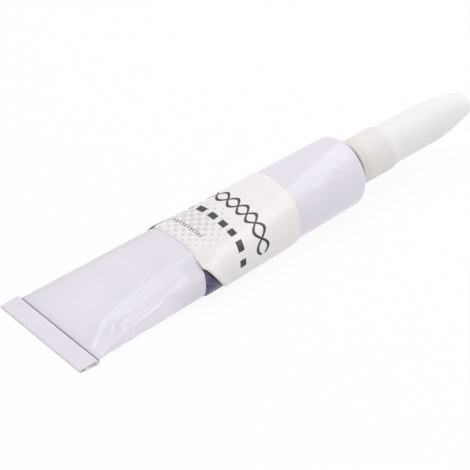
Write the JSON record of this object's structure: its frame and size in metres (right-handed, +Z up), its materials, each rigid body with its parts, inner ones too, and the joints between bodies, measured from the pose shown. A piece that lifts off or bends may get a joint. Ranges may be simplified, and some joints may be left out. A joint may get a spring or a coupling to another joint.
{
  "type": "glue tube",
  "caption": "Collapsible metal glue tube lying on its side, with a flat folded tail, a wrapped label, a pointed applicator nozzle and a long screw cap that pulls off.",
  "frame": {"origin": "on the plane the tube lies on, under the middle of its box", "axes": "+X along the tube from the folded tail to the cap, +Y across the flat tail, +Z up from the plane it lies on"},
  "size_m": [0.117, 0.026, 0.0162],
  "materials": {
    "lacquered_tube": "glossy pale lacquer",
    "seal": "dull sealing compound",
    "glue": "wet gel",
    "label": "satin white label stock",
    "nozzle": "satin polyethylene",
    "cap": "frosted polyethylene",
    "pin": "drawn wire"
  },
  "bodies": {
    "tube": {"tube_body": "lacquered_tube", "end_seal": "seal", "glue_gel": "glue", "wrap_label": "label", "nozzle": "nozzle"},
    "pin": {"sealing_pin": "pin"},
    "cap": {"cap": "cap"}
  },
  "joints": [
    {"name": "cap_pull", "type": "slide", "parent": "tube", "child": "pin", "axis": [0.9962, 0, 0.0873], "range_m": [0, 0.035]},
    {"name": "cap_turn", "type": "hinge", "parent": "pin", "child": "cap", "pos_m": [0.0475, 0, 0.01064], "axis": [0.9962, 0, 0.0873], "continuous": true}
  ]
}
